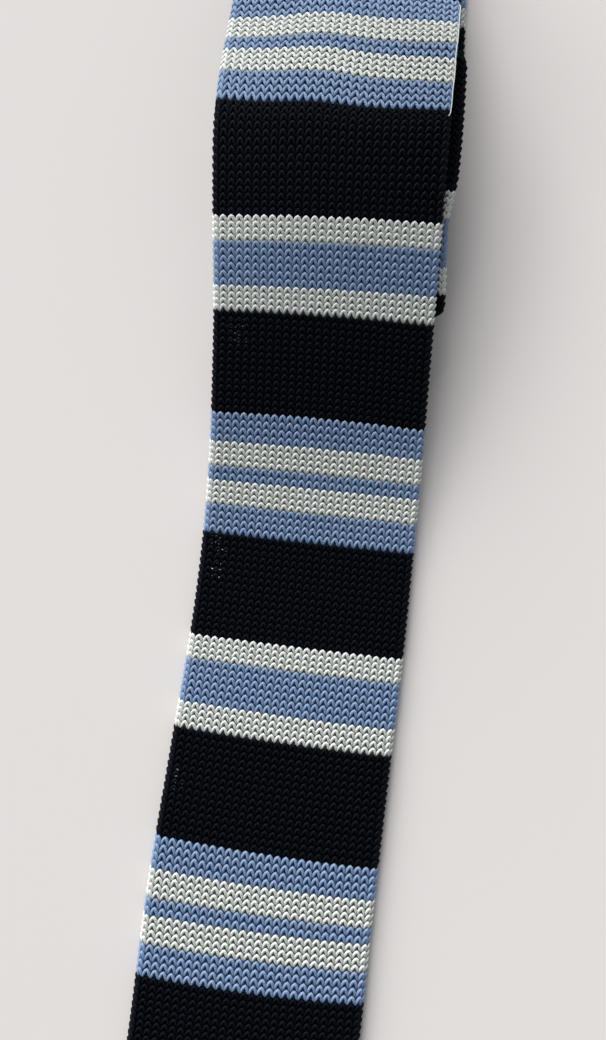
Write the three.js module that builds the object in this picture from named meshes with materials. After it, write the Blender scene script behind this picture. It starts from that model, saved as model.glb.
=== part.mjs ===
// A knitted tie, laid folded at the neck with its front blade on top.
// The tie is one flattened tube of jersey knit in three lengths that are sewn end to end:
// the front blade, the neck band and the tail blade. The tail blade is folded back on
// itself twice, in a small stack under the front blade, which lies up over that stack.
// Millimetres, +Z up, +Y from the square ends towards the neck, the underside at Z = 0.

import * as THREE from 'three';

// Knitted cloth
const WALL = 1.5; // one layer of the knitted tube
const HOLLOW = 0.6; // air between the two layers where the tube lies flat
const GAP = 0.3; // air between runs that lie on each other, and at each seam

// Widths of the flattened tube
const FRONT_WIDTH = 60; // front blade, at its square end
const NECK_WIDTH = 34; // neck band
const TAIL_WIDTH = 53; // tail blade

// Lengths along the table
const FRONT_LENGTH = 667; // front blade, from its square end to the neck seam
const NECK_LENGTH = 150; // neck band, from the front seam to the outside of its fold
const SEAM_STEP = 20; // how much nearer the square ends the tail seam lies
const TAIL_SETBACK = 299.5; // from the front blade's square end to the tail blade's
const STACK_LENGTH = 64.8; // from the tail's square end to the outside of the upper fold
const FOLD_STEP = 4; // from the tail's square end to the outside of the lower fold
const CORNER = 2.5; // corner radius of both square ends

// How the front blade lies over the folded tail
const UPPER_RADIUS = 5.5; // middle of the tube round the upper fold, which springs open
const LIFT = 2.5; // how much the tail's middle run rises towards the upper fold
const ARCH = 1.2; // how far the front blade bows up clear of the tail's last run
const EASE = 2; // how far before the stack the slope is already clear of it
const SHOULDER = 6; // from the top of the slope to the middle of the upper fold
const DROP = 45; // length of the slope down behind the stack
const CROWN = 2.2; // most that the upper layer swells up from the lower one
const STACK_LEAN = THREE.MathUtils.degToRad(4); // turn of the stack towards the left

// Share of the full thickness that is left at the very edge of a square end
const END_PINCH = 0.7;

// Facets
const EDGE_POINTS = 6; // round each side edge of the tube
const FACE_POINTS = 4; // across each face, between the edges
const FOLD_STEPS = 8; // round each fold

// Plan of the front blade. along: share of its length from the square end. aside: its
// middle, in shares of its width from the neck's middle line. full: how much of the way
// from the neck's width to its own. swell: share of the crown.
const FRONT_PLAN = [
  { along: 0, aside: -0.852, full: 1, swell: 0.2 },
  { along: 0.168, aside: -0.592, full: 0.99, swell: 0.36 },
  { along: 0.222, aside: -0.52, full: 0.963, swell: 0.36 },
  { along: 0.277, aside: -0.433, full: 0.89, swell: 0.36 },
  { along: 0.331, aside: -0.348, full: 0.821, swell: 0.36 },
  { along: 0.385, aside: -0.287, full: 0.789, swell: 0.36 },
  { along: 0.441, aside: -0.25, full: 0.773, swell: 0.6 },
  { along: 0.463, aside: -0.241, full: 0.789, swell: 0.8 },
  { along: 0.484, aside: -0.233, full: 0.81, swell: 1 },
  { along: 0.513, aside: -0.222, full: 0.805, swell: 1 },
  { along: 0.543, aside: -0.181, full: 0.727, swell: 1 },
  { along: 0.573, aside: -0.138, full: 0.64, swell: 0.9 },
  { along: 0.67, aside: -0.053, full: 0.5, swell: 0.5 },
  { along: 0.82, aside: -0.012, full: 0.28, swell: 0.2 },
  { along: 1, aside: 0, full: 0, swell: 0 },
];

// Plan of the tail blade's lowest run, from the neck seam to the lower fold
const TAIL_PLAN = [
  { along: 0, aside: 0, full: 0 },
  { along: 0.3, aside: -0.013, full: 0.53 },
  { along: 0.6, aside: -0.045, full: 0.9 },
  { along: 0.8, aside: -0.077, full: 1 },
  { along: 0.89, aside: -0.113, full: 0.95 },
  { along: 1, aside: -0.163, full: 0.83 },
];

// The tail blade's last run, from the upper fold to its square end. full: how much of the
// way from the neck's width to the width of the folds.
const LAST_RUN = [
  { along: 0, full: 1 },
  { along: 0.44, full: 1 },
  { along: 0.61, full: 0.84 },
  { along: 0.72, full: 0.87 },
  { along: 1, full: 1 },
];

// Heights and radii that follow from the cloth
const THICK = 2 * WALL + HOLLOW;
const LAYER = THICK + GAP;
const FOLD_RADIUS = LAYER / 2;
const FOLD_REACH = FOLD_RADIUS + THICK / 2;
const MID_HEIGHT = THICK / 2;

// Places along the table, from the front blade's square end
const NECK_FOLD_AT = FRONT_LENGTH + NECK_LENGTH - FOLD_REACH;
const TAIL_SEAM_AT = FRONT_LENGTH - SEAM_STEP;
const UPPER_REACH = UPPER_RADIUS + THICK / 2;
const UPPER_FOLD_AT = TAIL_SETBACK + STACK_LENGTH - UPPER_REACH;
const LOWER_FOLD_AT = TAIL_SETBACK + FOLD_STEP + FOLD_REACH;

// Heights over the stack, and where the slope up starts: just early enough to pass clear
// over the tail's square end on its one even curve
const LIFTED = MID_HEIGHT + LAYER + LIFT;
const TOP_HEIGHT = LIFTED + 2 * UPPER_RADIUS + LAYER + ARCH;
const RISE_END = UPPER_FOLD_AT - SHOULDER;
const DROP_START = UPPER_FOLD_AT + UPPER_REACH;
const CLEAR_SHARE = (3 * LAYER + ARCH) / (TOP_HEIGHT - MID_HEIGHT);
const CLEAR_AT = 0.5 - Math.sin(Math.asin(1 - 2 * CLEAR_SHARE) / 3);
const RISE_START = (TAIL_SETBACK - EASE - CLEAR_AT * RISE_END) / (1 - CLEAR_AT);

// Value of a table's column at a share of the way along, on a smooth curve through its rows
function through(rows, column, along) {
  let i = 0;
  while (i < rows.length - 2 && along > rows[i + 1].along) i += 1;
  const slope = (j) => {
    const before = rows[Math.max(j - 1, 0)];
    const after = rows[Math.min(j + 1, rows.length - 1)];
    return (after[column] - before[column]) / (after.along - before.along);
  };
  const [a, b] = [rows[i], rows[i + 1]];
  const step = b.along - a.along;
  const t = (along - a.along) / step;
  const u = 1 - t;
  return (
    a[column] * u * u * (1 + 2 * t)
    + b[column] * t * t * (3 - 2 * t)
    + slope(i) * step * t * u * u
    - slope(i + 1) * step * t * t * u
  );
}

// Evenly spaced values from one end to the other, both included
function spread(from, to, steps) {
  return Array.from({ length: steps + 1 }, (_, i) => THREE.MathUtils.lerp(from, to, i / steps));
}

// Height of the front blade's middle: on the table, over the stack, then on one run
function frontHeight(y) {
  const { smoothstep } = THREE.MathUtils;
  const up = smoothstep(y, RISE_START, RISE_END);
  const down = smoothstep(y, DROP_START, DROP_START + DROP);
  return MID_HEIGHT + (TOP_HEIGHT - MID_HEIGHT) * (up - down) + LAYER * down;
}

// Heights of the tail's folded runs: the middle one rises a little towards the upper fold,
// and the last one lies up along the underside of the front blade
function middleHeight(y) {
  return MID_HEIGHT + LAYER + LIFT * THREE.MathUtils.smoothstep(y, LOWER_FOLD_AT, UPPER_FOLD_AT);
}

function lastHeight(y) {
  return frontHeight(y) - LAYER - ARCH;
}

// One station of the tube: its middle, its way along and its face, from a compass
// direction on the table and a pitch that turns past upside down through each fold
function station(middle, turn, pitch, size) {
  const flat = new THREE.Vector3(Math.sin(turn), Math.cos(turn), 0);
  const up = new THREE.Vector3(0, 0, 1);
  const face = flat.clone().multiplyScalar(-Math.sin(pitch)).addScaledVector(up, Math.cos(pitch));
  const side = flat.clone().cross(up);
  return { middle, side, face, crown: 0, pinch: 1, ...size };
}

// How steeply a height rises at a place along the table
function slopeOf(height, y) {
  return Math.atan(height(y + 0.5) - height(y - 0.5));
}

// Stations round a fold. sense is -1 where the face ends up outside, 1 where it ends inside
function fold(centre, turn, fromPitch, sense, radius, width) {
  return spread(0, Math.PI, FOLD_STEPS).map((angle) => {
    const at = station(centre, turn, fromPitch + sense * angle, { width });
    return { ...at, middle: centre.clone().addScaledVector(at.face, -sense * radius) };
  });
}

// How far a rounded corner draws in each side edge at a distance from the square end
function cornerInset(distance) {
  const short = Math.max(CORNER - distance, 0);
  return CORNER - Math.sqrt(CORNER * CORNER - short * short);
}

// Distances from a square end at which its stations lie; the hollow starts at the second
const END_DISTANCES = [0, WALL, CORNER];

// Outline across the tube: a flat underside, round side edges and a crowned upper face
function outline(halfWidth, halfThick, crown) {
  const reach = halfWidth - halfThick;
  const points = [];
  const swell = (a) => crown * (1 - (a / reach) ** 2);
  for (const angle of spread(-Math.PI / 2, Math.PI / 2, EDGE_POINTS - 1)) {
    points.push([reach + halfThick * Math.cos(angle), halfThick * Math.sin(angle)]);
  }
  for (const share of spread(1, -1, FACE_POINTS + 1).slice(1, -1)) {
    points.push([share * reach, halfThick + swell(share * reach)]);
  }
  for (const angle of spread(Math.PI / 2, (3 * Math.PI) / 2, EDGE_POINTS - 1)) {
    points.push([-reach + halfThick * Math.cos(angle), halfThick * Math.sin(angle)]);
  }
  for (const share of spread(-1, 1, FACE_POINTS + 1).slice(1, -1)) {
    points.push([share * reach, -halfThick]);
  }
  return points;
}

// A hollow tube through the stations. A closed end is a square end, an open one a seam.
function knitTube(stations, startClosed, endClosed) {
  const vertices = [];
  const faces = [];

  const addVertex = (point) => vertices.push(point.x, point.y, point.z) / 3 - 1;
  const addRing = (at, points) => points.map(([a, b]) => addVertex(
    at.middle.clone().addScaledVector(at.side, a).addScaledVector(at.face, b),
  ));
  const addSides = (rings, inward) => {
    for (let i = 0; i + 1 < rings.length; i += 1) {
      rings[i].forEach((p, k) => {
        const next = (k + 1) % rings[i].length;
        const [q, r, s] = [rings[i][next], rings[i + 1][k], rings[i + 1][next]];
        faces.push(...(inward ? [p, q, r, q, s, r] : [p, r, q, q, r, s]));
      });
    }
  };
  const addCap = (at, ring, forward) => {
    const centre = addVertex(at.middle);
    ring.forEach((p, k) => {
      const next = ring[(k + 1) % ring.length];
      faces.push(...(forward ? [centre, next, p] : [centre, p, next]));
    });
  };
  const addRim = (outer, inner, forward) => {
    outer.forEach((p, k) => {
      const next = (k + 1) % outer.length;
      const [q, r, s] = [outer[next], inner[k], inner[next]];
      faces.push(...(forward ? [r, s, p, p, s, q] : [r, p, s, p, q, s]));
    });
  };

  const outer = stations.map((at) => (
    addRing(at, outline(at.width / 2, (at.pinch * THICK) / 2, at.crown))
  ));
  const hollow = stations.slice(startClosed ? 1 : 0, endClosed ? -1 : undefined);
  const inner = hollow.map((at) => (
    addRing(at, outline(at.width / 2 - WALL, HOLLOW / 2, at.crown))
  ));

  addSides(outer, false);
  addSides(inner, true);
  if (startClosed) {
    addCap(stations[0], outer[0], false);
    addCap(hollow[0], inner[0], true);
  } else {
    addRim(outer[0], inner[0], false);
  }
  if (endClosed) {
    addCap(stations.at(-1), outer.at(-1), true);
    addCap(hollow.at(-1), inner.at(-1), false);
  } else {
    addRim(outer.at(-1), inner.at(-1), true);
  }

  const geometry = new THREE.BufferGeometry();
  geometry.setAttribute('position', new THREE.Float32BufferAttribute(vertices, 3));
  geometry.setIndex(faces);
  geometry.computeVertexNormals();
  return geometry;
}

// The front blade: a square end, up over the stack, down behind it and on to the neck seam
function frontBlade() {
  const end = FRONT_LENGTH - GAP / 2;
  const dropEnd = DROP_START + DROP;
  const places = [
    ...END_DISTANCES,
    ...spread(CORNER, RISE_START, 9).slice(1, -1),
    ...spread(RISE_START, dropEnd, 28),
    ...spread(dropEnd, end, 10).slice(1),
  ];
  const aside = (y) => FRONT_WIDTH * through(FRONT_PLAN, 'aside', y / FRONT_LENGTH);
  const stations = places.map((y) => {
    const full = through(FRONT_PLAN, 'full', y / FRONT_LENGTH);
    const middle = new THREE.Vector3(aside(y), y, frontHeight(y));
    const turn = Math.atan(aside(y + 0.5) - aside(y - 0.5));
    return station(middle, turn, slopeOf(frontHeight, y), {
      width: THREE.MathUtils.lerp(NECK_WIDTH, FRONT_WIDTH, full) - 2 * cornerInset(y),
      crown: y === 0 ? 0 : CROWN * through(FRONT_PLAN, 'swell', y / FRONT_LENGTH),
      pinch: y === 0 ? END_PINCH : 1,
    });
  });
  return knitTube(stations, true, false);
}

// The neck band: out on top of the tail's lowest run, round the neck fold and back under it
function neckBand() {
  const size = { width: NECK_WIDTH };
  const upper = MID_HEIGHT + LAYER;
  const place = (y, z) => new THREE.Vector3(0, y, z);
  const out = spread(FRONT_LENGTH + GAP / 2, NECK_FOLD_AT, 4).slice(0, -1);
  const back = spread(NECK_FOLD_AT, TAIL_SEAM_AT + GAP / 2, 4).slice(1);
  const stations = [
    ...out.map((y) => station(place(y, upper), 0, 0, size)),
    ...fold(place(NECK_FOLD_AT, MID_HEIGHT + FOLD_RADIUS), 0, 0, -1, FOLD_RADIUS, NECK_WIDTH),
    ...back.map((y) => station(place(y, MID_HEIGHT), 0, -Math.PI, size)),
  ];
  return knitTube(stations, false, false);
}

// The tail blade: back along the table, up round the lower fold, forward, up round the
// upper fold, and back again on top of the stack to its square end
function tailBlade() {
  const start = TAIL_SEAM_AT - GAP / 2;
  const aside = (along) => TAIL_WIDTH * through(TAIL_PLAN, 'aside', along);
  const width = (full) => THREE.MathUtils.lerp(NECK_WIDTH, TAIL_WIDTH, full);
  const foldAside = aside(1);
  const foldWidth = width(through(TAIL_PLAN, 'full', 1));
  const place = (y, z) => {
    const leaned = foldAside + (y - LOWER_FOLD_AT) * Math.tan(STACK_LEAN);
    return new THREE.Vector3(leaned, y, z);
  };

  const lowest = spread(0, 1, 12).slice(0, -1).map((along) => {
    const y = THREE.MathUtils.lerp(start, LOWER_FOLD_AT, along);
    const across = aside(along + 0.002) - aside(along - 0.002);
    const turn = Math.atan(across / (0.004 * (LOWER_FOLD_AT - start)));
    const middle = new THREE.Vector3(aside(along), y, MID_HEIGHT);
    return station(middle, turn, -Math.PI, { width: width(through(TAIL_PLAN, 'full', along)) });
  });

  const middleRun = spread(LOWER_FOLD_AT, UPPER_FOLD_AT, 8).slice(1, -1).map((y) => (
    station(place(y, middleHeight(y)), STACK_LEAN, slopeOf(middleHeight, y), { width: foldWidth })
  ));

  const lastPlaces = [
    ...spread(UPPER_FOLD_AT, TAIL_SETBACK + CORNER, 12).slice(1, -1),
    ...[...END_DISTANCES].reverse().map((distance) => TAIL_SETBACK + distance),
  ];
  const lastRun = lastPlaces.map((y) => {
    const along = (UPPER_FOLD_AT - y) / (UPPER_FOLD_AT - TAIL_SETBACK);
    const full = through(LAST_RUN, 'full', along);
    const distance = y - TAIL_SETBACK;
    return station(place(y, lastHeight(y)), STACK_LEAN, Math.PI + slopeOf(lastHeight, y), {
      width: THREE.MathUtils.lerp(NECK_WIDTH, foldWidth, full) - 2 * cornerInset(distance),
      pinch: distance === 0 ? END_PINCH : 1,
    });
  });

  const lowerFold = place(LOWER_FOLD_AT, MID_HEIGHT + FOLD_RADIUS);
  const upperFold = place(UPPER_FOLD_AT, LIFTED + UPPER_RADIUS);
  const stations = [
    ...lowest,
    ...fold(lowerFold, STACK_LEAN, -Math.PI, -1, FOLD_RADIUS, foldWidth),
    ...middleRun,
    ...fold(upperFold, STACK_LEAN, 0, 1, UPPER_RADIUS, foldWidth),
    ...lastRun,
  ];
  return knitTube(stations, false, true);
}

// Dyed knitting yarn: dull, with no metal in it
function knit(name, geometry, colour) {
  const cloth = new THREE.MeshStandardMaterial({ color: colour, roughness: 0.85, metalness: 0 });
  const mesh = new THREE.Mesh(geometry, cloth);
  mesh.name = name;
  return mesh;
}

const NAVY = '#0b0f1c';
const BLUE = '#6f8cbf';

const tie = new THREE.Group();
tie.add(
  knit('front_blade', frontBlade(), BLUE),
  knit('neck_band', neckBand(), NAVY),
  knit('tail_blade', tailBlade(), NAVY),
);

// The origin lies on the table, under the middle of the whole tie
const box = new THREE.Box3().setFromObject(tie);
const centre = box.getCenter(new THREE.Vector3());
tie.position.set(-centre.x, -centre.y, 0);
tie.updateMatrixWorld(true);

export default tie;
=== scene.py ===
# A knitted tie, laid folded at the neck with its front blade on top and its tail blade
# folded up small under it. Sizes are in millimetres until a mesh is written in metres.

import math

import bpy
import numpy as np
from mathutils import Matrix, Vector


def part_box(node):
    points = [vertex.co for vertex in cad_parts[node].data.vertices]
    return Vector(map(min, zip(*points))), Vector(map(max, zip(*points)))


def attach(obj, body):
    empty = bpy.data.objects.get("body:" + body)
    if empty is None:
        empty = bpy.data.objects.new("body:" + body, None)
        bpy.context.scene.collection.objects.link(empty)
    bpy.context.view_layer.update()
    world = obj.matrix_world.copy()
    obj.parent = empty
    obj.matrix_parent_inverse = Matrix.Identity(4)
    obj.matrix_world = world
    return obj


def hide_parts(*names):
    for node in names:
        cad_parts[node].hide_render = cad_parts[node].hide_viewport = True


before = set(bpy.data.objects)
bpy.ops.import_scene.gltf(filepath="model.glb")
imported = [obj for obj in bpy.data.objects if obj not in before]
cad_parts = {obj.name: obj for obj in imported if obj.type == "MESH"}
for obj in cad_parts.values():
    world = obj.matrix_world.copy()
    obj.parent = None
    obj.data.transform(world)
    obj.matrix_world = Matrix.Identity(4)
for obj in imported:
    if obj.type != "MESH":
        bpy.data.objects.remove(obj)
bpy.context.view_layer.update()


# Where the tie lies
# The neck band runs straight along the tie's own middle line, and its fold is the far end
# of the tie. Both place this script's sizes, which start at the front blade's square end.

FRONT_LENGTH = 667.0  # front blade, from its square end to the neck seam
NECK_LENGTH = 150.0  # neck band, from that seam to the outside of its fold
METRE = 0.001

neck_low, neck_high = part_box("neck_band")
ORIGIN = np.array([
    (neck_low.x + neck_high.x) / 2,
    neck_high.y - (FRONT_LENGTH + NECK_LENGTH) * METRE,
    0.0,
])


# Camera
# It hangs over the middle of the photograph and looks straight down at the table. Its
# height gives the blade the photograph's spread between the folded part and the flat part.

PICTURE_HIGH = 1040.0  # pixels
PICTURE_SCALE = 3.815  # pixels to a millimetre on the table
CAMERA_HEIGHT = 230.0
CAMERA_ASIDE = -20.0  # from the neck's middle line
CAMERA_ALONG = 247.0  # from the front blade's square end

camera = bpy.data.objects.new("camera", bpy.data.cameras.new("camera"))
camera.location = ORIGIN + METRE * np.array([CAMERA_ASIDE, CAMERA_ALONG, CAMERA_HEIGHT])
camera.data.sensor_fit = "VERTICAL"
camera.data.angle_y = 2 * math.atan(PICTURE_HIGH / PICTURE_SCALE / 2 / CAMERA_HEIGHT)
camera.data.clip_start = 0.01
bpy.context.scene.collection.objects.link(camera)
bpy.context.scene.camera = camera


# Front blade
# One flattened tube of jersey knit in thick dyed yarn, closed across its square end. Each
# course of loops runs once round the tube, and the stripes are courses of other yarns.

WALL = 1.5  # one layer of the knitted tube
HOLLOW = 0.6  # air between the two layers
GAP = 0.3  # air between runs that lie on each other
FRONT_WIDTH = 60.0
NECK_WIDTH = 34.0
TAIL_SETBACK = 299.5  # from this square end to the tail blade's
STACK_LENGTH = 64.8  # the folded tail, from its square end to its upper fold
UPPER_RADIUS = 5.5  # middle of the tube round the tail's upper fold, which springs open
LIFT = 2.5  # rise of the tail's middle run towards that fold
ARCH = 1.2  # how far this blade bows up clear of the tail's last run
EASE = 2.0  # how far before the folded tail the slope is already clear of it
SHOULDER = 6.0  # from the top of the slope to the middle of the upper fold
DROP = 45.0  # slope down behind it
CROWN = 2.2  # swell of the upper layer
CORNER = 2.5  # corner radius of a square end
EDGE_PROUD = 0.25  # how far loops stand out past each side edge of the plain tube
END_PINCH = 0.7  # share of the thickness left at the edge of a square end

THICK = 2 * WALL + HOLLOW
LAYER = THICK + GAP
FOLD_RADIUS = LAYER / 2
FOLD_REACH = FOLD_RADIUS + THICK / 2
MID_HEIGHT = THICK / 2
UPPER_REACH = UPPER_RADIUS + THICK / 2
UPPER_FOLD_AT = TAIL_SETBACK + STACK_LENGTH - UPPER_REACH
LIFTED = MID_HEIGHT + LAYER + LIFT
TOP_HEIGHT = LIFTED + 2 * UPPER_RADIUS + LAYER + ARCH
RISE_END = UPPER_FOLD_AT - SHOULDER
DROP_START = UPPER_FOLD_AT + UPPER_REACH
CLEAR_SHARE = (3 * LAYER + ARCH) / (TOP_HEIGHT - MID_HEIGHT)
CLEAR_AT = 0.5 - math.sin(math.asin(1 - 2 * CLEAR_SHARE) / 3)
RISE_START = (TAIL_SETBACK - EASE - CLEAR_AT * RISE_END) / (1 - CLEAR_AT)

# along: share of the length. aside: the middle, in shares of the width. full: how much of
# the way from the neck's width to the blade's. swell: share of the crown.
FRONT_PLAN = np.array(
    [
        (0, -0.852, 1, 0.2),
        (0.168, -0.592, 0.99, 0.36),
        (0.222, -0.52, 0.963, 0.36),
        (0.277, -0.433, 0.89, 0.36),
        (0.331, -0.348, 0.821, 0.36),
        (0.385, -0.287, 0.789, 0.36),
        (0.441, -0.25, 0.773, 0.6),
        (0.463, -0.241, 0.789, 0.8),
        (0.484, -0.233, 0.81, 1),
        (0.513, -0.217, 0.825, 1),
        (0.543, -0.172, 0.77, 1),
        (0.573, -0.13, 0.68, 0.9),
        (0.67, -0.053, 0.5, 0.5),
        (0.82, -0.012, 0.28, 0.2),
        (1, 0, 0, 0),
    ],
    dtype=[("along", float), ("aside", float), ("full", float), ("swell", float)],
)


def through(rows, column, along):
    """The column at shares of the way along, on a smooth curve through the rows."""
    x, y = rows["along"], rows[column]
    i = np.clip(np.searchsorted(x, along, side="left") - 1, 0, len(x) - 2)
    before = np.maximum(np.arange(len(x)) - 1, 0)
    after = np.minimum(np.arange(len(x)) + 1, len(x) - 1)
    slope = (y[after] - y[before]) / (x[after] - x[before])
    step = x[i + 1] - x[i]
    t = (along - x[i]) / step
    u = 1 - t
    start = y[i] * u * u * (1 + 2 * t) + slope[i] * step * t * u * u
    return start + y[i + 1] * t * t * (3 - 2 * t) - slope[i + 1] * step * t * t * u


def smooth(value, low, high):
    """0 below low, 1 above high and an even curve between them."""
    t = np.clip((value - low) / (high - low), 0, 1)
    return t * t * (3 - 2 * t)


def front_height(y):
    """Height of the blade's middle: on the table, over the folded tail, on one run."""
    up = smooth(y, RISE_START, RISE_END)
    down = smooth(y, DROP_START, DROP_START + DROP)
    return MID_HEIGHT + (TOP_HEIGHT - MID_HEIGHT) * (up - down) + LAYER * down


def corner_inset(distance):
    """How far a rounded corner draws in each side edge near a square end."""
    short = np.clip(CORNER - distance, 0, CORNER)
    return CORNER - np.sqrt(CORNER**2 - short**2)


def run(middle, turn, pitch, width, crown=0.0, pinch=1.0):
    """A stretch of tube: its middle line, and its sideways and face directions on it."""
    middle = np.asarray(middle, float)
    turn, pitch, width, crown, pinch = (
        np.broadcast_to(value, len(middle)) for value in (turn, pitch, width, crown, pinch)
    )
    flat = np.stack([np.sin(turn), np.cos(turn), 0 * turn], 1)
    face = -np.sin(pitch)[:, None] * flat
    face[:, 2] += np.cos(pitch)
    steps = np.linalg.norm(np.diff(middle, axis=0), axis=1)
    return {
        "arc": np.concatenate([[0], np.cumsum(steps)]),
        "middle": middle,
        "side": np.stack([np.cos(turn), -np.sin(turn), 0 * turn], 1),
        "face": face,
        "width": width,
        "crown": crown,
        "pinch": pinch,
    }


def joined(*runs):
    """Several runs as one, end to end."""
    whole = {key: np.concatenate([r[key] for r in runs]) for key in runs[0]}
    steps = np.linalg.norm(np.diff(whole["middle"], axis=0), axis=1)
    keep = np.concatenate([[True], steps > 1e-6])
    whole = {key: value[keep] for key, value in whole.items()}
    steps = np.linalg.norm(np.diff(whole["middle"], axis=0), axis=1)
    whole["arc"] = np.concatenate([[0], np.cumsum(steps)])
    return whole


def at(tube, key, arc):
    """A value of the tube at distances along it."""
    table = tube[key]
    if table.ndim == 1:
        return np.interp(arc, tube["arc"], table)
    return np.stack([np.interp(arc, tube["arc"], column) for column in table.T], -1)


def reach(tube, arc):
    """Half the flat part of a face, and half the way round the tube."""
    flat = at(tube, "width", arc) / 2 - MID_HEIGHT
    return flat, 2 * flat + math.pi * MID_HEIGHT


def across_tube(tube, arc, around):
    """Distance to the right of the tube's middle, and the angle gone round its edge."""
    flat, _ = reach(tube, arc)
    past = np.abs(around) - flat
    angle = np.clip(past / MID_HEIGHT, 0, math.pi)
    under = np.maximum(past - math.pi * MID_HEIGHT, 0)
    beside = np.sign(around) * (flat - under + MID_HEIGHT * np.sin(angle))
    return np.where(past < 0, around, beside), angle


def on_tube(tube, arc, around, depth):
    """Points at a depth in the tube's wall, and the way out there. around is the distance
    round the tube from the middle of its face, to the right and to the left of it."""
    flat, _ = reach(tube, arc)
    across, angle = across_tube(tube, arc, around)
    sign = np.sign(around)
    thick = MID_HEIGHT * at(tube, "pinch", arc)
    share = np.clip(around / flat, -1, 1)
    on_face = np.abs(around) < flat
    swell = np.where(on_face, at(tube, "crown", arc) * (1 - share**2), 0)
    lean = np.where(on_face, 2 * at(tube, "crown", arc) * share / flat, sign * np.sin(angle))
    rise = np.where(on_face, 1.0, np.cos(angle))
    size = np.hypot(lean, rise)
    side, face = at(tube, "side", arc), at(tube, "face", arc)
    out = (lean / size)[..., None] * side + (rise / size)[..., None] * face
    height = thick * np.cos(angle) + swell
    place = at(tube, "middle", arc) + across[..., None] * side + height[..., None] * face
    return place - depth[..., None] * out, out


def write_mesh(name, points, quads, materials, uv=None, tone=None, material_index=None):
    """A smooth mesh object from arrays of points in millimetres and of four-sided faces."""
    mesh = bpy.data.meshes.new(name)
    mesh.vertices.add(len(points))
    mesh.vertices.foreach_set("co", (ORIGIN + METRE * points).astype(np.float32).ravel())
    mesh.loops.add(quads.size)
    mesh.loops.foreach_set("vertex_index", quads.astype(np.int32).ravel())
    mesh.polygons.add(len(quads))
    mesh.polygons.foreach_set("loop_start", np.arange(0, quads.size, 4, dtype=np.int32))
    mesh.polygons.foreach_set("use_smooth", np.ones(len(quads), bool))
    if material_index is not None:
        mesh.polygons.foreach_set("material_index", material_index.astype(np.int32))
    if uv is not None:
        layer = mesh.uv_layers.new(name="strand")
        layer.uv.foreach_set("vector", uv.astype(np.float32).ravel())
    if tone is not None:
        layer = mesh.attributes.new("tone", "FLOAT", "POINT")
        layer.data.foreach_set("value", tone.astype(np.float32).ravel())
    for material in materials:
        mesh.materials.append(material)
    mesh.update(calc_edges=True)
    piece = bpy.data.objects.new(name, mesh)
    bpy.context.scene.collection.objects.link(piece)
    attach(piece, "root")
    return piece


# Yarn: dyed acrylic, several fine plies spun loosely into a round strand. Each ply shows
# as a faint slanting ridge with painted shade in the grooves between the plies, and the fine
# fibres give a soft broad sheen, not a gloss.

YARN_RADIUS = 0.41
PLY_LAY = 2.4  # length of strand in which a ply goes once round it
PLIES = 3


def linear(hex_colour):
    """The linear colour of an sRGB hex value."""
    parts = [int(hex_colour[i : i + 2], 16) / 255 for i in (1, 3, 5)]
    return [c / 12.92 if c <= 0.04045 else ((c + 0.055) / 1.055) ** 2.4 for c in parts] + [1]


def add(tree, kind, links=(), **settings):
    """A node with its settings and its incoming links, each (input, node, output)."""
    node = tree.nodes.new(kind)
    for key, value in settings.items():
        if hasattr(node, key):
            setattr(node, key, value)
        else:
            node.inputs[key.replace("_", " ")].default_value = value
    for socket, source, output in links:
        tree.links.new(source.outputs[output], node.inputs[socket])
    return node


def yarn_material(name, colour, shaded_dye, sheen, rough, gloss):
    """Dyed acrylic yarn. Its second colour is painted shade: the dye darkened where fibres lie
    deep between the plies, mixed in along the grooves between plies and where a loop's random tone
    is lower.
    """
    material = bpy.data.materials.new(name)
    material.use_nodes = True
    tree = material.node_tree
    tree.nodes.clear()
    strand = add(tree, "ShaderNodeUVMap", uv_map="strand")
    plies = add(
        tree, "ShaderNodeTexWave", [("Vector", strand, "UV")],
        bands_direction="X", Scale=PLIES * math.pi / 10, Distortion=0.0,
    )
    tone = add(tree, "ShaderNodeAttribute", attribute_name="tone")
    # Painted shade: the colour goes towards its shaded colour in the grooves between the plies.
    ridge = add(
        tree, "ShaderNodeMapRange", [("Value", plies, "Fac")],
        From_Min=0.0, From_Max=1.0, To_Min=0.75, To_Max=1.0,
    )
    shade = add(
        tree, "ShaderNodeMath", [(0, ridge, "Result"), (1, tone, "Fac")], operation="MULTIPLY",
    )
    # The base colour: the yarn's own colour mixed with its painted shade.
    dye = add(tree, "ShaderNodeMix", [("Factor", shade, "Value")], data_type="RGBA")
    dye.inputs["A"].default_value = linear(shaded_dye)
    dye.inputs["B"].default_value = linear(colour)
    bump = add(
        tree, "ShaderNodeBump", [("Height", plies, "Fac")], Strength=0.35, Distance=0.00008,
    )
    shader = add(
        tree, "ShaderNodeBsdfPrincipled",
        [("Base Color", dye, "Result"), ("Normal", bump, "Normal")],
        Roughness=rough, Sheen_Weight=sheen, Sheen_Roughness=0.4,
    )
    shader.inputs["Specular IOR Level"].default_value = gloss
    output = add(tree, "ShaderNodeOutputMaterial", [("Surface", shader, "BSDF")])
    output.is_active_output = True
    return material


# Each yarn: its colour, its painted shade for the grooves, sheen, roughness and gloss.
YARNS = {
    "navy": yarn_material("navy_yarn", "#040a14", "#02050a", 0.0, 0.7, 0.1),
    "blue": yarn_material("blue_yarn", "#8aa0bd", "#6a85ad", 0.08, 0.6, 0.12),
    "cream": yarn_material("cream_yarn", "#dbdfdb", "#c9cdc6", 0.08, 0.6, 0.12),
}

# The cloth behind the loops: the same yarns, seen only in the holes between the loops and
# on the underside, where the stitches are too small to show and are drawn as relief.
# The blue and cream cloths are painted far darker than their yarns: painted shade in the holes, at
# the side edges and underneath.

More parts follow.
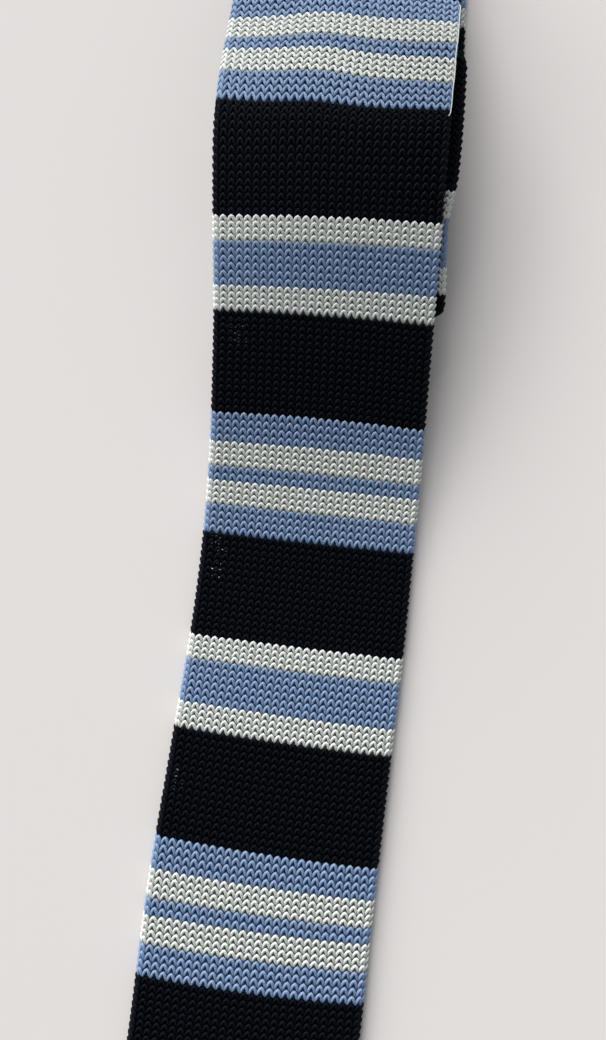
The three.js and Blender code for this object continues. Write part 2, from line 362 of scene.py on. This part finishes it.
SHADED_CLOTHS = {
    "navy": yarn_material("navy_shaded_cloth", "#080c16", "#030509", 0.0, 0.8, 0.1),
    "blue": yarn_material("blue_shaded_cloth", "#44699c", "#30507c", 0.0, 0.8, 0.2),
    "cream": yarn_material("cream_shaded_cloth", "#93978f", "#6c7069", 0.0, 0.8, 0.2),
}

COLOURS = ["navy", "blue", "cream"]

# Courses from the square end towards the neck: the end, then five thin stripes and three
# thin stripes by turns with a navy band between them
NAVY_BAND = [("navy", 15)]
FIVE_STRIPES = [("blue", 4), ("cream", 4), ("blue", 2), ("cream", 4), ("blue", 4)]
THREE_STRIPES = [("cream", 4), ("blue", 6), ("cream", 4)]
SQUARE_END = [("navy", 3)]
COURSE_HIGH = {"navy": 1.74, "blue": 1.88, "cream": 1.62}

# How the knit lies along the blade, in millimetres from the square end. stretch: courses
# against their plain height. lean: how far a course runs up towards its right edge. bow:
# how far its middle stands up from its edges. hump: the same for a ridge left of the middle.
KNIT_LIE = np.array(
    [
        (0, 1.12, 0, 0, 0),
        (130, 1.11, -0.6, -0.6, 0),
        (145, 1.15, -0.5, -0.3, 0),
        (185, 1.1, 0, -0.4, 0),
        (212, 0.98, 0.4, 0, 0),
        (229, 1.08, 0, -0.1, 0),
        (250, 0.98, -0.4, 0, 0),
        (275, 1, -0.9, 0.9, 0),
        (305, 0.95, -0.7, 0.5, 0),
        (321, 0.91, -0.2, 0.4, 0),
        (338, 1.14, 0.7, -1, 0.6),
        (349, 0.84, 1.5, -2, 1),
        (365, 0.75, 3.3, -1, 1.4),
        (400, 0.9, 2.4, -0.5, 0.8),
        (440, 1, 0, 0, 0),
        (670, 1, 0, 0, 0),
    ],
    dtype=[(key, float) for key in ("along", "stretch", "lean", "bow", "hump")],
)
RIDGE_ASIDE = -0.18  # middle of the ridge, in half widths of the blade
RIDGE_WIDE = 0.36  # its half width, the same way


def courses(pattern, length, lie=None):
    """The middle, height and yarn of each course up to a length of tube."""
    place, found = 0.0, []
    while True:
        for yarn, count in pattern(len(found)):
            for _ in range(count):
                stretch = 1.0 if lie is None else np.interp(place, lie["along"], lie["stretch"])
                high = COURSE_HIGH[yarn] * stretch
                if place + high > length:
                    return found
                found.append((place + high / 2, high, yarn))
                place += high


def front_pattern(courses_so_far):
    """The whole repeat, with the square end before the first one."""
    start = SQUARE_END if courses_so_far == 0 else []
    return start + FIVE_STRIPES + NAVY_BAND + THREE_STRIPES + NAVY_BAND


WALES = 58  # wales right round the tube
FULL_WALE = 1.95  # width of a wale from which the yarn has its full thickness
WALE_ASIDE = 0.42  # the wale in the middle of a face lies this far to the right
LOOP_HIGH = 0.95  # from the lower to the upper bends of a course, in course heights
LOOP_STRAIGHT = 0.03  # how much straighter its legs are than a plain wave
LOOP_SWELL = 0.05  # how much wider the upper bends are, in wales
LOOP_DEEP = 0.27  # how far upper bends stand before lower ones, each way from the middle
LOOP_TURNED = -0.1  # the same where the blade bends over the folded tail
TURNED = (344.0, 350.0)  # the stretch over which that changes
KNIT_DEPTH = LOOP_DEEP + YARN_RADIUS  # depth of the loops' middle in the wall
TUCK = 0.9  # how much deeper each strand's cut ends lie
UNEVEN_ALONG = 0.04  # how far loops stray along the tube
UNEVEN_ROUND = 0.02  # and round it, in wales
UNEVEN_TONE = 0.08  # how much their dye differs
# How far a loop's colour lies from its painted shade towards its full colour.
PLAIN_TONE = 0.85
RANDOM = np.random.default_rng(7)


def course_line(tube, place, around, lie=None):
    """Distances along the tube of a course that lies leaned and bowed across it."""
    if lie is None:
        return place + 0 * around
    lean, bow, hump = (np.interp(place, lie["along"], lie[key]) for key in ("lean", "bow", "hump"))
    across, _ = across_tube(tube, place, around)
    share = across / (at(tube, "width", place) / 2)
    ridge = np.exp(-(((share - RIDGE_ASIDE) / RIDGE_WIDE) ** 2))
    return place + lean * share + bow * (1 - share**2) + hump * ridge


def knit(name, tube, rows, first, last, sides, steps, material, sense=1, lie=None):
    """Real loops of yarn, one strand for each course, over the wales from first to last,
    which are counted from the middle of the face. sense is -1 where the tube runs the
    other way, towards its blade's square end."""
    place = np.array([r[0] for r in rows])[:, None]
    high = np.array([r[1] for r in rows])[:, None]
    t = np.arange((last - first) * steps + 1) / steps + first
    whole = np.arange(first, last + 1)
    uneven = RANDOM.normal(0, 1, (3, len(rows), len(whole)))
    loose = [np.stack([np.interp(t, whole, row) for row in part]) for part in uneven]
    phase = 2 * math.pi * t
    wave = np.cos(phase) + LOOP_STRAIGHT * np.cos(3 * phase)
    _, half_round = reach(tube, place)
    wale = 2 * half_round / WALES
    arc = course_line(tube, place, wale * (t + WALE_ASIDE), lie)
    arc = arc + sense * LOOP_HIGH / 2 * high * wave + UNEVEN_ALONG * loose[0]
    stray = LOOP_SWELL * np.sin(phase) + UNEVEN_ROUND * loose[1]
    around = wale * (t + WALE_ASIDE + stray)
    slim = np.minimum(wale / FULL_WALE, 1.0)
    ends = np.clip(1 - np.minimum(t - first, last - t), 0, 1)
    turned = 0 if lie is None else smooth(place, *TURNED)
    deep = LOOP_DEEP + (LOOP_TURNED - LOOP_DEEP) * turned
    depth = KNIT_DEPTH - deep * wave + TUCK * ends + 0 * arc
    centre, out = on_tube(tube, arc, around, depth)
    along = np.gradient(centre, axis=1)
    along /= np.linalg.norm(along, axis=-1, keepdims=True)
    across = np.cross(along, out)
    across /= np.linalg.norm(across, axis=-1, keepdims=True)
    outward = np.cross(across, along)
    turn = 2 * math.pi * np.arange(sides) / sides
    ring = (
        np.cos(turn)[:, None] * outward[:, :, None] + np.sin(turn)[:, None] * across[:, :, None]
    )
    points = centre[:, :, None] + YARN_RADIUS * slim[..., None, None] * ring
    index = np.arange(points[..., 0].size).reshape(points.shape[:3])
    follow = np.roll(index, -1, axis=2)
    quads = np.stack([index[:, :-1], follow[:, :-1], follow[:, 1:], index[:, 1:]], -1)
    length = np.cumsum(np.linalg.norm(np.diff(centre, axis=1, prepend=centre[:, :1]), axis=-1), 1)
    wound = length[:, :, None] / PLY_LAY + np.arange(sides + 1) / sides
    around_uv = np.broadcast_to(np.arange(sides + 1) / sides, wound.shape)
    uv = np.stack([wound, around_uv], -1)
    uv = np.stack([uv[:, :-1, :-1], uv[:, :-1, 1:], uv[:, 1:, 1:], uv[:, 1:, :-1]], -2)
    tone = np.clip(PLAIN_TONE + UNEVEN_TONE * loose[2], 0, 1)
    tone = np.broadcast_to(tone[:, :, None], points.shape[:3])
    piece = write_mesh(
        name, points.reshape(-1, 3), quads.reshape(-1, 4), [material],
        uv.reshape(-1, 2), tone.reshape(-1),
    )
    return piece


BACKING = 1.3  # depth of the cloth behind the loops
LOOPS_ON_FACE = (1, 0.35, 0)  # shares of it on the tube's face, side edges and back
LOOPS_ON_BACK = (0, 0.35, 1)
FACE_POINTS = 13  # points of a ring on each layer
EDGE_POINTS = 6  # and round each side edge
END_ROUND = 0.4  # first ring in from a closed end


def backing(name, tube, rows, open_start, open_end, bare, lie=None):
    """The closed tube behind the loops, with a ring at each course. bare says how much of
    the backing's depth it keeps on the face, the side edges and the back of the tube."""
    places = [0.0] if open_start else [0.0, END_ROUND, WALL, CORNER]
    length = tube["arc"][-1]
    edges = [r[0] + r[1] / 2 for r in rows if r[0] + r[1] / 2 < length - CORNER - 0.2]
    places += [e for e in edges if e > places[-1] + 0.2]
    if not open_end:
        places += [length - CORNER, length - WALL, length - END_ROUND]
    places += [length]
    arc = np.array(places)[:, None]
    flat, _ = reach(tube, arc)
    bend = math.pi * MID_HEIGHT
    shares = np.linspace(-1, 1, FACE_POINTS)
    angles = np.linspace(0, 1, EDGE_POINTS + 2)[1:-1]
    face = flat * shares
    right = flat + bend * angles
    back = flat + bend + flat * (1 + shares)
    left = 3 * flat + bend + bend * angles
    around = np.concatenate([face, right, back, left], 1)
    half = 2 * flat + bend
    around = np.where(around > half, around - 2 * half, around)
    kinds = [bare[0]] * FACE_POINTS
    kinds += list(bare[1] + (bare[2] - bare[1]) * smooth(angles, 0.6, 1.0))
    kinds += [bare[2]] * FACE_POINTS
    kinds += list(bare[2] + (bare[1] - bare[2]) * smooth(angles, 0.0, 0.4))
    depth = BACKING * np.broadcast_to(kinds, around.shape)
    if not open_start:
        depth = depth * np.minimum(arc, 1)
    points, _ = on_tube(tube, course_line(tube, arc, around, lie), around, depth)
    index = np.arange(around.size).reshape(around.shape)
    follow = np.roll(index, -1, axis=1)
    quads = np.stack([index[:-1], index[1:], follow[1:], follow[:-1]], -1).reshape(-1, 4)
    middles = (arc[:-1, 0] + arc[1:, 0]) / 2
    ends = np.array([r[0] + r[1] / 2 for r in rows])
    which = np.clip(np.searchsorted(ends, middles), 0, len(rows) - 1)
    yarn = np.array([COLOURS.index(rows[i][2]) for i in which])
    yarn = np.repeat(yarn, around.shape[1])
    caps = []
    for ring, flip in ((index[0], False), (index[-1], True)):
        count = len(ring)
        for k in range(count // 2 - 1):
            quad = [ring[k], ring[k + 1], ring[count - k - 2], ring[count - k - 1]]
            caps.append(quad[::-1] if flip else quad)
    quads = np.concatenate([quads, np.array(caps)])
    yarn = np.concatenate([yarn, np.full(len(caps), yarn[0])])
    corner_arc = arc[:, 0][quads // around.shape[1]]
    corner_round = (quads % around.shape[1]) / around.shape[1]
    uv = np.stack([corner_arc / PLY_LAY, corner_round], -1)
    # Painted shade: darker copies of the yarns, with a lower tone that leans further to their
    # shaded colour.
    tone = np.full(len(points.reshape(-1, 3)), 0.8)
    return write_mesh(
        name, points.reshape(-1, 3), quads, [SHADED_CLOTHS[c] for c in COLOURS],
        uv.reshape(-1, 2), tone, yarn,
    )


front_y = np.concatenate([[0, 0.4, WALL, CORNER], np.arange(3.5, FRONT_LENGTH - GAP / 2, 1.0)])
front_y = np.append(front_y, FRONT_LENGTH - GAP / 2)


def front_aside(y):
    return FRONT_WIDTH * through(FRONT_PLAN, "aside", y / FRONT_LENGTH)


front_full = through(FRONT_PLAN, "full", front_y / FRONT_LENGTH)
front_tube = run(
    np.stack([front_aside(front_y), front_y, front_height(front_y)], 1),
    np.arctan(front_aside(front_y + 0.5) - front_aside(front_y - 0.5)),
    np.arctan(front_height(front_y + 0.5) - front_height(front_y - 0.5)),
    NECK_WIDTH + (FRONT_WIDTH - NECK_WIDTH) * front_full - 2 * corner_inset(front_y)
    + 2 * EDGE_PROUD,
    CROWN * through(FRONT_PLAN, "swell", front_y / FRONT_LENGTH) * smooth(front_y, 0, 3),
    END_PINCH + (1 - END_PINCH) * smooth(front_y, 0, WALL),
)
front_rows = courses(front_pattern, front_tube["arc"][-1], KNIT_LIE)

front_cloth = backing(
    "front_blade_cloth", front_tube, front_rows, False, True, LOOPS_ON_FACE, KNIT_LIE,
)
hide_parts("front_blade")

FACE_WALES = 16  # wales from the middle of the face to under the side edge
IN_VIEW = (100.0, 400.0)  # the stretch that the camera sees, with finer strands


def knit_front(name, colour, start, end, sides, steps):
    """The courses of one yarn between two places along the front blade."""
    rows = [r for r in front_rows if r[2] == colour and start < r[0] <= end]
    return knit(
        name, front_tube, rows, -FACE_WALES, FACE_WALES, sides, steps, YARNS[colour],
        lie=KNIT_LIE,
    )


front_loops = []
for colour in COLOURS:
    fine = 5 if colour == "navy" else 6
    middle = sum(IN_VIEW) / 2
    front_loops += [
        knit_front(f"front_{colour}_1", colour, 0, IN_VIEW[0], 4, 4),
        knit_front(f"front_{colour}_2", colour, IN_VIEW[0], middle, fine, 8),
        knit_front(f"front_{colour}_3", colour, middle, IN_VIEW[1], fine, 8),
        knit_front(f"front_{colour}_4", colour, IN_VIEW[1], FRONT_LENGTH + 20, 4, 4),
    ]


# The cream yarn isn't cut at every stripe. It is carried up the right side edge from one
# stripe to the next, and where its ends are woven in behind the navy loops they show as
# pale specks through the holes.

CARRIED = (348.0, 377.5)  # distances along the blade
CARRIED_RADIUS = 0.13  # pulled tight, so thinner than in the loops
CARRIED_DOWN = 0.7  # how far down the side edge it runs, in half thicknesses
CARRIED_SINK = 1.2  # depth at which its ends go into the knit
CARRIED_STEPS = 200
WOVEN_RADIUS = 0.18
WOVEN_DEPTH = 1.0  # behind the loops, in front of the cloth
WOVEN_SINK = 0.5  # how much deeper its ends go
WOVEN_STEPS = 24

# along: distance from the square end. wale: first wale, from the middle. wales: how many it
# passes behind. courses: how many courses of it lie one above the other.
WOVEN_ENDS = [
    {"along": 293.0, "wale": -11.7, "wales": 2.8, "courses": 4},
    {"along": 232.0, "wale": -12.5, "wales": 1.6, "courses": 8},
    {"along": 175.0, "wale": -13.0, "wales": 1.2, "courses": 4},
]


def strand(arc, around, depth, radius, tube, lie=None, sides=6):
    """The points, faces and coordinates of one loose strand through a tube's wall."""
    centre, out = on_tube(tube, course_line(tube, arc, around, lie), around, depth)
    along = np.gradient(centre, axis=0)
    along /= np.linalg.norm(along, axis=-1, keepdims=True)
    across = np.cross(along, out)
    across /= np.linalg.norm(across, axis=-1, keepdims=True)
    outward = np.cross(across, along)
    turn = 2 * math.pi * np.arange(sides) / sides
    ring = np.cos(turn)[:, None] * outward[:, None] + np.sin(turn)[:, None] * across[:, None]
    points = centre[:, None] + radius * ring
    index = np.arange(len(centre) * sides).reshape(-1, sides)
    follow = np.roll(index, -1, axis=1)
    quads = np.stack([index[:-1], follow[:-1], follow[1:], index[1:]], -1)
    wound = np.arange(len(centre))[:, None] / 12 + np.arange(sides + 1) / sides
    uv = np.stack([wound, 0 * wound], -1)
    uv = np.stack([uv[:-1, :-1], uv[:-1, 1:], uv[1:, 1:], uv[1:, :-1]], -2)
    return points.reshape(-1, 3), quads.reshape(-1, 4), uv.reshape(-1, 2)


def loose_yarn(name, strands, material):
    """Several loose strands as one piece."""
    points, quads, uv = zip(*strands)
    starts = np.cumsum([0] + [len(p) for p in points[:-1]])
    quads = np.concatenate([q + s for q, s in zip(quads, starts)])
    points = np.concatenate(points)
    piece = write_mesh(
        name, points, quads, [material], np.concatenate(uv), np.full(len(points), 0.9),
    )
    return piece


carried_arc = np.linspace(*CARRIED, CARRIED_STEPS)
carried_flat, _ = reach(front_tube, carried_arc)
carried_sway = 0.1 * np.sin(carried_arc / 3.1) + 0.08 * np.sin(carried_arc / 1.3 + 1)
carried_out = smooth(carried_arc, CARRIED[0], CARRIED[0] + 2)
carried_in = smooth(carried_arc, CARRIED[1] - 2, CARRIED[1])
carried = strand(
    carried_arc, carried_flat + CARRIED_DOWN * MID_HEIGHT + carried_sway,
    CARRIED_SINK * (1 - carried_out + carried_in), CARRIED_RADIUS, front_tube,
)
front_loops.append(loose_yarn("front_carried_yarn", [carried], YARNS["cream"]))

woven = []
for end in WOVEN_ENDS:
    for course in range(end["courses"]):
        arc = end["along"] + COURSE_HIGH["navy"] * course
        start = end["wale"] + RANDOM.uniform(-0.7, 0.7)
        wale = 2 * reach(front_tube, arc)[1] / WALES
        t = np.linspace(0, 1, WOVEN_STEPS)
        around = wale * (start + end["wales"] * t)
        depth = WOVEN_DEPTH + WOVEN_SINK * smooth(np.abs(t - 0.5), 0.38, 0.5)
        sway = 0.2 * np.sin(7 * t + course)
        woven.append(strand(arc + sway, around, depth, WOVEN_RADIUS, front_tube, KNIT_LIE))
front_loops.append(loose_yarn("front_woven_ends", woven, YARNS["cream"]))


# Neck band
# The narrow middle length of the same tube, all in navy. It is sewn to both blades and
# folded once, so its far end lies back under its near end.

SEAM_STEP = 20.0  # how much nearer the square ends the tail seam lies
NECK_FOLD_AT = FRONT_LENGTH + NECK_LENGTH - FOLD_REACH
TAIL_SEAM_AT = FRONT_LENGTH - SEAM_STEP


def straight(start, end, turn, pitch, width, count=40):
    """A straight run between two points."""
    return run(np.linspace(start, end, count), turn, pitch, width)


def fold(centre, turn, from_pitch, sense, radius, width):
    """A run half way round a fold. sense is -1 where the face ends up outside."""
    pitch = from_pitch + sense * np.linspace(0, math.pi, 25)
    flat = np.array([math.sin(turn), math.cos(turn), 0])
    face = -np.sin(pitch)[:, None] * flat + np.cos(pitch)[:, None] * np.array([0, 0, 1])
    return run(np.array(centre) - sense * radius * face, turn, pitch, width)


neck_tube = joined(
    straight(
        (0, FRONT_LENGTH + GAP / 2, MID_HEIGHT + LAYER), (0, NECK_FOLD_AT, MID_HEIGHT + LAYER),
        0, 0, NECK_WIDTH,
    ),
    fold((0, NECK_FOLD_AT, MID_HEIGHT + FOLD_RADIUS), 0, 0, -1, FOLD_RADIUS, NECK_WIDTH),
    straight(
        (0, NECK_FOLD_AT, MID_HEIGHT), (0, TAIL_SEAM_AT + GAP / 2, MID_HEIGHT),
        0, -math.pi, NECK_WIDTH,
    ),
)
neck_rows = courses(lambda so_far: NAVY_BAND, neck_tube["arc"][-1])

neck_cloth = backing("neck_band_cloth", neck_tube, neck_rows, True, True, LOOPS_ON_FACE)
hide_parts("neck_band")

upper_neck = [r for r in neck_rows if r[0] < NECK_FOLD_AT - FRONT_LENGTH + 8]
neck_loops = knit(
    "neck_navy", neck_tube, upper_neck, -FACE_WALES, FACE_WALES, 4, 6, YARNS["navy"],
)


# Tail blade
# The other end of the tube. It comes back along the table, is folded up and forward, then
# up and back again, and ends square on top of the two lower runs, face down.

TAIL_WIDTH = 53.0
FOLD_STEP = 4.0  # from the tail's square end to the outside of the lower fold
STACK_LEAN = math.radians(4)  # turn of the folded part towards the left
LOWER_FOLD_AT = TAIL_SETBACK + FOLD_STEP + FOLD_REACH

TAIL_PLAN = np.array(
    [
        (0, 0, 0),
        (0.3, -0.013, 0.53),
        (0.6, -0.045, 0.9),
        (0.8, -0.077, 1),
        (0.89, -0.113, 0.95),
        (1, -0.163, 0.83),
    ],
    dtype=[("along", float), ("aside", float), ("full", float)],
)
LAST_RUN = np.array(
    [(0, 1), (0.44, 1), (0.61, 0.84), (0.72, 0.87), (1, 1)],
    dtype=[("along", float), ("full", float)],
)

tail_start = TAIL_SEAM_AT - GAP / 2
tail_share = np.linspace(0, 1, 200)


def tail_aside(share):
    return TAIL_WIDTH * through(TAIL_PLAN, "aside", share)


def stack_place(y, z):
    leaned = tail_aside(np.array([1.0]))[0] + (y - LOWER_FOLD_AT) * math.tan(STACK_LEAN)
    return np.array([leaned, y, z])


tail_y = tail_start + (LOWER_FOLD_AT - tail_start) * tail_share
across_step = tail_aside(tail_share + 0.002) - tail_aside(tail_share - 0.002)
tail_width = NECK_WIDTH + (TAIL_WIDTH - NECK_WIDTH) * through(TAIL_PLAN, "full", tail_share)
lowest_run = run(
    np.stack([tail_aside(tail_share), tail_y, 0 * tail_y + MID_HEIGHT], 1),
    np.arctan(across_step / (0.004 * (LOWER_FOLD_AT - tail_start))),
    -math.pi,
    tail_width,
)
fold_width = tail_width[-1]
FOLD_DRAW = 6.0  # how far the upper fold draws its own outer corners in


def slope_of(height, y):
    """How steeply a height rises at places along the table."""
    return np.arctan(height(y + 0.5) - height(y - 0.5))


def middle_height(y):
    return MID_HEIGHT + LAYER + LIFT * smooth(y, LOWER_FOLD_AT, UPPER_FOLD_AT)


def last_height(y):
    return front_height(y) - LAYER - ARCH


middle_y = np.linspace(LOWER_FOLD_AT, UPPER_FOLD_AT, 60)
middle_run = run(
    np.array([stack_place(y, middle_height(y)) for y in middle_y]),
    STACK_LEAN, slope_of(middle_height, middle_y), fold_width,
)
last_distance = np.concatenate([
    np.linspace(UPPER_FOLD_AT - TAIL_SETBACK, CORNER, 60), [WALL, 0.4, 0],
])
last_y = TAIL_SETBACK + last_distance
last_share = 1 - last_distance / (UPPER_FOLD_AT - TAIL_SETBACK)
last_full = through(LAST_RUN, "full", last_share)
last_run = run(
    np.array([stack_place(y, last_height(y)) for y in last_y]),
    STACK_LEAN,
    math.pi + slope_of(last_height, last_y),
    NECK_WIDTH + (fold_width - NECK_WIDTH) * last_full - 2 * corner_inset(last_distance),
    0.0,
    END_PINCH + (1 - END_PINCH) * smooth(last_distance, 0, WALL),
)
lower_fold = fold(
    stack_place(LOWER_FOLD_AT, MID_HEIGHT + FOLD_RADIUS), STACK_LEAN, -math.pi, -1,
    FOLD_RADIUS, fold_width,
)
upper_fold = fold(
    stack_place(UPPER_FOLD_AT, LIFTED + UPPER_RADIUS), STACK_LEAN, 0, 1,
    UPPER_RADIUS, fold_width - FOLD_DRAW * np.sin(np.linspace(0, math.pi, 25)) ** 2,
)
tail_tube = joined(lowest_run, lower_fold, middle_run, upper_fold, last_run)


def tail_pattern(so_far):
    """From the square end: its edge, three stripes, navy round both folds, three stripes."""
    past_fold = [("cream", 3), ("blue", 6), ("cream", 4)]
    start = SQUARE_END + THREE_STRIPES + [("navy", 98)] + past_fold
    return start if so_far == 0 else [("navy", 50)]


tail_length = tail_tube["arc"][-1]
tail_rows = [
    (tail_length - place, high, yarn)
    for place, high, yarn in courses(tail_pattern, tail_length)
][::-1]

tail_cloth = backing("tail_blade_cloth", tail_tube, tail_rows, True, False, LOOPS_ON_BACK)
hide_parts("tail_blade")

# Only its right side edge shows: of the last run and its fold, and of the lowest run just
# past the fold. Each stretch is a distance from the square end.
SHOWN = [(0.0, 82.0), (192.0, 252.0)]
for colour in COLOURS:
    rows = [
        r for r in tail_rows
        if r[2] == colour and any(a <= tail_length - r[0] < b for a, b in SHOWN)
    ]
    knit(f"tail_{colour}", tail_tube, rows, 12, 24, 5, 8, YARNS[colour], sense=-1)


# Floor and light
# A plain pale surface under two broad soft lights. The stronger one shines along the tie
# from its far end, and the other from its left, so that the shadow falls to its right.

FLOOR_SIZE = 4.0  # metres
floor_mesh = bpy.data.meshes.new("floor")
half = FLOOR_SIZE / 2
floor_mesh.from_pydata(
    [(-half, -half, 0), (half, -half, 0), (half, half, 0), (-half, half, 0)], [], [(0, 1, 2, 3)],
)
floor = bpy.data.objects.new("floor", floor_mesh)
floor.location.z = -0.0001
bpy.context.scene.collection.objects.link(floor)

plaster = bpy.data.materials.new("pale_plaster")
plaster.use_nodes = True
plaster_shader = plaster.node_tree.nodes["Principled BSDF"]
plaster_shader.inputs["Base Color"].default_value = linear("#e3dedb")
plaster_shader.inputs["Roughness"].default_value = 0.9
floor_mesh.materials.append(plaster)

# Each light: the way to it, how wide it looks in degrees, and its strength. Both are so far
# off that they light the whole floor evenly.
LIGHTS = {
    "high_light": ((-0.32, 1.0, 0.49), 42, 4.45),
    "side_light": ((-1.0, 0.17, 0.44), 40, 1.0),
}
for name, (way, wide, strength) in LIGHTS.items():
    lamp = bpy.data.lights.new(name, "SUN")
    lamp.angle = math.radians(wide)
    lamp.energy = strength
    light = bpy.data.objects.new(name, lamp)
    light.location = ORIGIN + np.array(way)
    facing = -np.array(way) / np.linalg.norm(way)
    light.rotation_euler = (math.acos(-facing[2]), 0, math.atan2(-facing[0], facing[1]))
    bpy.context.scene.collection.objects.link(light)

world = bpy.data.worlds.new("room")
world.use_nodes = True
world.node_tree.nodes["Background"].inputs["Color"].default_value = linear("#eef1f6")
world.node_tree.nodes["Background"].inputs["Strength"].default_value = 0.31
bpy.context.scene.world = world
bpy.context.scene.view_settings.view_transform = "Standard"
